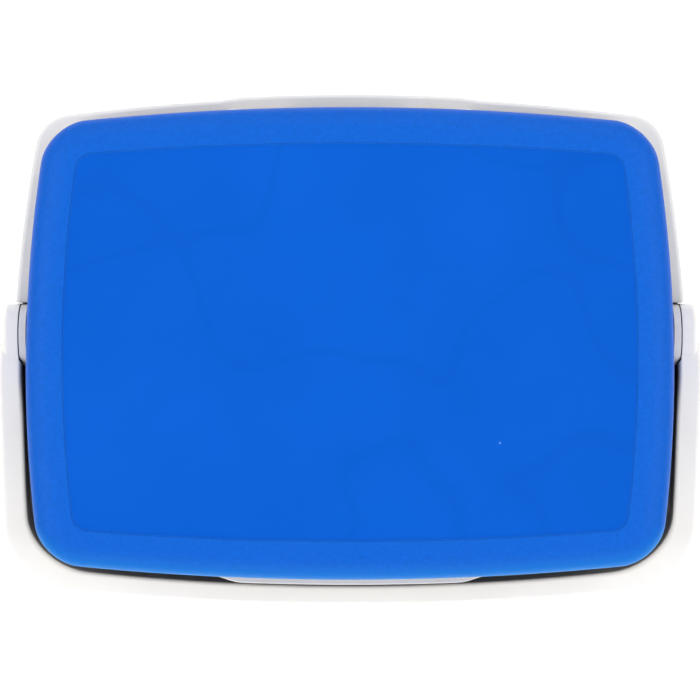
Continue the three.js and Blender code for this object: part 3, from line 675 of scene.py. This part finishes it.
def finger_room(margin):
    """Room for the fingers that lift the folded handle's bar, deeper by a margin."""
    room = block("finger room", (-BIG, -BIG, 0), (BIG, FINGER_BACK + margin, FINGER_TOP + margin))
    combine(room, handle_recess(margin), "INTERSECT")
    return cut(room, prism("core", PLAIN_NECK, 1, 300, neck_scale, FINGER_DEPTH + margin))


def shell_inside():
    """The room inside the shell's walls."""
    under_ledge = LEDGE_Z - LEDGE_THICKNESS
    inside = prism("inside", BODY, FLOOR_TOP, under_ledge, body_scale, SHELL_WALL, bottom=5)
    cut(inside, handle_recess(SHELL_WALL))
    join(inside, prism("neck inside", PLAIN_NECK, NECK_BOTTOM, RIM_TOP + 5, neck_scale, SHELL_WALL))
    behind = block("behind", (-BIG, LEDGE_FRONT, under_ledge), (BIG, BIG, BIG))
    return cut(inside, behind, finger_room(SHELL_WALL))


def make_shell(material):
    shell = prism("outer_shell_skin", BODY, 0, LEDGE_Z, body_scale, bottom=7, top=2.4)
    cut(shell, handle_recess(0))
    join(shell, prism("neck", NECK, NECK_BOTTOM, SHELL_TOP, neck_scale, top=0.8))
    above_ledge = block("above", (-BIG, LEDGE_FRONT, LEDGE_Z), (BIG, BIG, BIG))
    cut(shell, above_ledge, finger_room(0), shell_inside())
    cut(shell, prism("base recess", BODY, -1, BASE_RECESS, body_scale, BASE_RING, top=1.5))
    hole = [(-1, 0), (-1, FILL_HOLE), (FLOOR_TOP + 1, FILL_HOLE), (FLOOR_TOP + 1, 0)]
    cut(shell, upright("fill", hole, BODY.center_y))
    for sign in (-1, 1):
        x0, x1 = sign * HINGE_X - LEAF_SEAT_HALF, sign * HINGE_X + LEAF_SEAT_HALF
        seat_low = (x0, LEAF_SEAT_FRONT, LEDGE_Z - LEAF_SEAT_DEPTH)
        cut(shell, block("leaf seat", seat_low, (x1, LEAF_SEAT_BACK, BIG)))
        add_boss(shell, sign)
    finish_piece(shell, "body", "shell_white", ["outer_shell"], material)


def add_boss(shell, sign):
    """The boss that a handle hub turns on, with its stop and its bore."""
    profile = [(162, 0), (162, 9), (172.3, 9), (172.3, BOSS_RADIUS), (BOSS_END - 0.4, BOSS_RADIUS),
               (BOSS_END, BOSS_RADIUS - 0.4), (BOSS_END, 0)]
    boss = turned("boss", profile, PIVOT_Y, PIVOT_Z, sign)
    rim = [(172, 0), (172, DISC_RADIUS), (BOSS_END - 0.4, DISC_RADIUS), (BOSS_END - 0.1, DISC_RADIUS - 0.3),
           (BOSS_END - 0.1, 0)]
    disc = turned("disc", rim, PIVOT_Y, PIVOT_Z, sign)
    cut(disc, block("lower half", (-BIG, -BIG, 0), (BIG, BIG, PIVOT_Z - DISC_DROP)))
    cut(boss, block("under lid", (-175.8, -BIG, SHELL_TOP), (175.8, BIG, BIG)))
    cut(disc, block("under lid", (-175.7, -BIG, SHELL_TOP - 0.1), (175.7, BIG, BIG)))
    join(shell, disc)
    x0, x1 = sorted((sign * 172, sign * BOSS_END))
    join(shell, boss, sector("stop", BODY_STOP_ANGLE, x0, x1, PIVOT_Y, PIVOT_Z))
    bore = [(164.2, 0), (164.2, PIN_BORE), (195, PIN_BORE), (195, 0)]
    cut(shell, turned("bore", bore, PIVOT_Y, PIVOT_Z, sign))


def make_liner(material):
    """The white food compartment, with the flange that the lid's seal lies on."""
    foot = LINER_FLOOR - LINER_WALL
    rings = []
    for draw, rise in reversed(quarter_turn(14, 8)):
        z = foot + 14 - rise
        rings.append(ring(MOUTH, z, draw - LINER_WALL, liner_scale(z)))
    rings.append(ring(MOUTH, RIM_TOP - FLANGE, -LINER_WALL, liner_scale(RIM_TOP)))
    rings.append(ring(PLAIN_NECK, RIM_TOP - FLANGE, FLANGE_INSET, neck_scale(RIM_TOP)))
    for draw, rise in quarter_turn(0.7, 3):
        rings.append(ring(PLAIN_NECK, RIM_TOP - 0.7 + rise, FLANGE_INSET + draw, neck_scale(RIM_TOP)))
    for draw, rise in reversed(quarter_turn(1.8, 5)):
        rings.append(ring(MOUTH, RIM_TOP - 1.8 + rise, -draw, liner_scale(RIM_TOP)))
    for draw, rise in quarter_turn(12, 8):
        z = LINER_FLOOR + 12 - rise
        rings.append(ring(MOUTH, z, draw, liner_scale(z)))
    back = LEDGE_FRONT - 0.3
    for points in rings:
        points[:, 1] = np.minimum(points[:, 1], back)
    liner = loft("inner_liner_skin", rings)
    join(liner, block("lip", (-156, back - 2.3, LEDGE_Z - 1), (156, back, RIM_TOP - 0.4)))
    finish_piece(liner, "body", "liner_white", ["inner_liner"], material)


# ---------------------------------------------------------------- handle
def bail_outline():
    """The bail's outside in its own plane, centred where its arms bow out most, and how far ahead that is."""
    reach = ((BAIL_THICK / 2 - BAIL_EDGE) * math.cos(BAIL_SLOPE)
             + (BAIL_WIDE / 2 - BAIL_EDGE) * math.sin(BAIL_SLOPE) + BAIL_EDGE)
    bar_radius = (PIVOT_Y - CAD_LOW.y / MM - reach) / math.cos(BAIL_SLOPE) - 0.1
    widest = 28.0
    half_depth = bar_radius + BAIL_THICK / 2 - widest
    return Outline(CAD_HIGH.x / MM, half_depth, 36, 1.5, 11.7, center_y=0, widest_y=0), widest


def strap_section(steps=6):
    """(inset, height) pairs round the rounded section of the strap."""
    section = []
    near, far, half = BAIL_EDGE, BAIL_THICK - BAIL_EDGE, BAIL_WIDE / 2 - BAIL_EDGE
    for quarter, (inset_at, height) in enumerate(((far, half), (near, half), (near, -half), (far, -half))):
        for i in range(steps + 1):
            angle = math.pi / 2 * (quarter + i / steps)
            section.append((inset_at + BAIL_EDGE * math.cos(angle), height + BAIL_EDGE * math.sin(angle)))
    return section


def make_strap():
    """The U of the bail: its arms deepen and tuck in towards the hubs over the last few centimetres."""
    outline, widest = bail_outline()
    section = strap_section()
    rows = []
    for distance, height in section:
        drawn = replace(
            outline,
            half_width=outline.half_width - distance * ARM_STOUTER,
            half_depth=outline.half_depth - distance,
            corner=outline.corner - distance * CORNER_SHRINK,
        )
        path = bowed(front_half(drawn, widest), drawn)
        path[:, 0] *= 1 - BAIL_TUCK / outline.half_width * (np.maximum(path[:, 1], 0) / widest) ** 2
        ahead = widest - path[:, 1]
        deepen = 1 + 0.72 * (1 - smoothstep(ahead, 6, 48))
        rows.append(np.column_stack([path[:, 0], path[:, 1] - widest, height * deepen]))
    stations = np.stack(rows, axis=1)
    count = len(section)
    vertices = stations.reshape(-1, 3)
    last = (len(stations) - 1) * count
    ends = [tuple(range(count)), tuple(range(last, last + count))]
    return new_object("handle_bail_strap", vertices, grid_faces(len(stations), count) + ends)


def make_handle(material):
    bail = make_strap()
    round_edge = [(HUB_OUTER - 1.4 - draw, HUB_RADIUS - 3 + rise) for draw, rise in quarter_turn(3, 7)]
    hub = [(HUB_INNER, 0), (HUB_INNER, HUB_RADIUS - 0.2), (HUB_INNER + 0.2, HUB_RADIUS)]
    hub += [(x, r) for x, r in reversed(round_edge)] + [(HUB_OUTER, 9.5), (HUB_OUTER, 0)]
    seat = HUB_OUTER - 3.4
    bore = [(170, 0), (170, PIN_BORE), (seat, PIN_BORE), (seat, 9.5), (HUB_OUTER - 0.9, 9.5),
            (HUB_OUTER - 0.4, 9.7), (HUB_OUTER + 0.1, 10.4), (HUB_OUTER + 3, 10.4), (HUB_OUTER + 3, 0)]
    room = [(170, 0), (170, DISC_RADIUS + 1.2), (HUB_INNER, DISC_RADIUS + 1.2), (HUB_INNER, SEAT_RADIUS),
            (SEAT_END, SEAT_RADIUS), (SEAT_END, 0)]
    for sign in (-1, 1):
        x0, x1 = sorted((sign * (BOSS_END - 2.4), sign * (HUB_INNER + 2)))
        join(bail, turned("hub", hub, 0, 0, sign))
        cut(bail, turned("room", room, 0, 0, sign))
        join(bail, sector("lug", HUB_LUG_ANGLE, x0, x1, 0, 0))
        cut(bail, turned("bore", bore, 0, 0, sign))
    to_place = Matrix.Translation(Vector((0, PIVOT_Y, PIVOT_Z)) * MM) @ Matrix.Rotation(BAIL_SLOPE, 4, "X")
    bail.data.transform(to_place)
    finish_piece(bail, "handle", "handle_white", ["handle_bail"], material)


def make_pivots(material):
    """The shouldered pins in the hubs, with a dished head, and the washers behind them."""
    top = HUB_OUTER - 0.2
    pin = [(164.5, 0), (164.5, 4.2), (165.3, 5), (top - 2.9, 5), (top - 2.9, 9.1), (top - 0.7, 9.1),
           (top - 0.2, 8.9), (top, 8.4), (top, 6.6), (top - 0.3, 6.2), (top - 0.5, 5.4), (top - 0.6, 0)]
    washer = [(180, PIN_BORE), (180, 12.8), (180.2, 13), (180.6, 13), (180.8, 12.8), (180.8, PIN_BORE)]
    for side, sign in (("left", -1), ("right", 1)):
        head = turned(f"pivot_pin_{side}_cap", pin, PIVOT_Y, PIVOT_Z, sign)
        finish_piece(head, "body", "trim_white", [f"pivot_pin_{side}"], material)
        disc = turned(f"pivot_washer_{side}_disc", washer, PIVOT_Y, PIVOT_Z, sign)
        finish_piece(disc, "body", "trim_white", [f"pivot_washer_{side}"], material)


# ---------------------------------------------------------------- CAD nodes that stay
def dress(node, material, edge):
    """Gives a CAD node its material and small rounded edges."""
    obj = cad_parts[node]
    obj.data.materials.clear()
    obj.data.materials.append(material)
    weld = obj.modifiers.new("weld", "WELD")
    weld.merge_threshold = 1e-6
    if edge:
        bevel = obj.modifiers.new("round edges", "BEVEL")
        bevel.width = edge * MM
        bevel.segments = 2
        bevel.limit_method = "ANGLE"
        bevel.angle_limit = math.radians(40)
        bevel.harden_normals = True


def dress_hardware(trim, cream, seal, metal):
    for side in ("left", "right"):
        dress(f"hinge_body_leaf_{side}", trim, 0.3)
        dress(f"hinge_lid_leaf_{side}", trim, 0.3)
        dress(f"hinge_pin_{side}", metal, 0)
        for end in ("outer", "inner"):
            dress(f"hinge_body_screw_{side}_{end}", metal, 0.1)
            dress(f"hinge_lid_screw_{side}_{end}", metal, 0.1)
    for node in ("body_fill_plug", "lid_fill_plug"):
        dress(node, trim, 0.3)
    for node in ("body_insulation", "lid_insulation"):
        dress(node, cream, 0)
    dress("lid_gasket", seal, 0.4)


# ---------------------------------------------------------------- floor and light
def make_floor():
    surface = Surface("floor_pale")
    mottle = surface.noise(0.4, detail=4)
    color = surface.blend(surface.span(mottle, 0.3, 0.7, 0, 1), (0.93, 0.93, 0.93), (0.96, 0.96, 0.96))
    material = surface.finish(color, surface.span(mottle, 0, 1, 0.6, 0.7), surface.bump(mottle, 0.05 * MM))
    surface.shader.inputs["Emission Color"].default_value = (1, 1, 1, 1)
    surface.shader.inputs["Emission Strength"].default_value = 0.25
    floor = block("floor", (-6000, -6000, -20), (6000, 6000, 0))
    floor.data.materials.append(material)


def area_light(name, location, width, height, power):
    """A softbox that faces the middle of the lid; its place and size are in metres."""
    data = bpy.data.lights.new(name, "AREA")
    data.shape = "RECTANGLE"
    data.size, data.size_y = width, height
    data.energy = power
    light = bpy.data.objects.new(name, data)
    light.location = location
    toward = Vector((0, 0, 0.25)) - Vector(location)
    light.rotation_euler = toward.to_track_quat("-Z", "Y").to_euler()
    bpy.context.scene.collection.objects.link(light)


def make_light():
    area_light("front", (0, -2.6, 2.0), 3.8, 2.1, 60)
    area_light("left", (-1.6, 0.1, 2.05), 2.4, 1.6, 39)
    area_light("right", (1.6, 0.1, 2.05), 2.4, 1.6, 39)
    area_light("back", (0, 2.0, 1.7), 2.4, 1.2, 26)
    world = bpy.data.worlds.new("studio")
    bpy.context.scene.world = world
    world.use_nodes = True
    nodes, links = world.node_tree.nodes, world.node_tree.links
    direction = nodes.new("ShaderNodeTexCoord").outputs["Generated"]
    split = nodes.new("ShaderNodeSeparateXYZ")
    links.new(direction, split.inputs["Vector"])
    fade = nodes.new("ShaderNodeMapRange")
    fade.inputs["From Min"].default_value = 0.35
    fade.inputs["From Max"].default_value = 0.9
    fade.inputs["To Min"].default_value = 0.6
    fade.inputs["To Max"].default_value = 0.14
    links.new(split.outputs["Z"], fade.inputs["Value"])
    links.new(fade.outputs["Result"], nodes["Background"].inputs["Strength"])
    nodes["Background"].inputs["Color"].default_value = (1, 1, 1, 1)
    bpy.context.scene.view_settings.view_transform = "Standard"


# ---------------------------------------------------------------- the scene
def build():
    make_camera()
    # The shell, liner and handle whites carry painted shade in their narrow slots.
    shell_white = white_plastic("shell_white", (0.62, 0.61, 0.6), 0.42, 0.5 * MM, painted_shade_reach=60 * MM)
    liner_white = white_plastic("liner_white", (0.76, 0.76, 0.75), 0.34, 0.7 * MM, painted_shade_reach=8 * MM)
    handle_white = white_plastic(
        "handle_white", (0.735, 0.717, 0.69), 0.36, 0.6 * MM, painted_shade_reach=60 * MM, painted_shade_span=(0.26, 0.1),
    )
    trim_white = white_plastic("trim_white", (0.66, 0.66, 0.65), 0.4, 0.5 * MM)
    make_lid(lid_border_blue(), lid_field_blue())
    make_pan(liner_white)
    make_shell(shell_white)
    make_liner(liner_white)
    make_handle(handle_white)
    make_pivots(trim_white)
    dress_hardware(trim_white, foam(), seal_rubber(), steel())
    make_floor()
    make_light()


build()
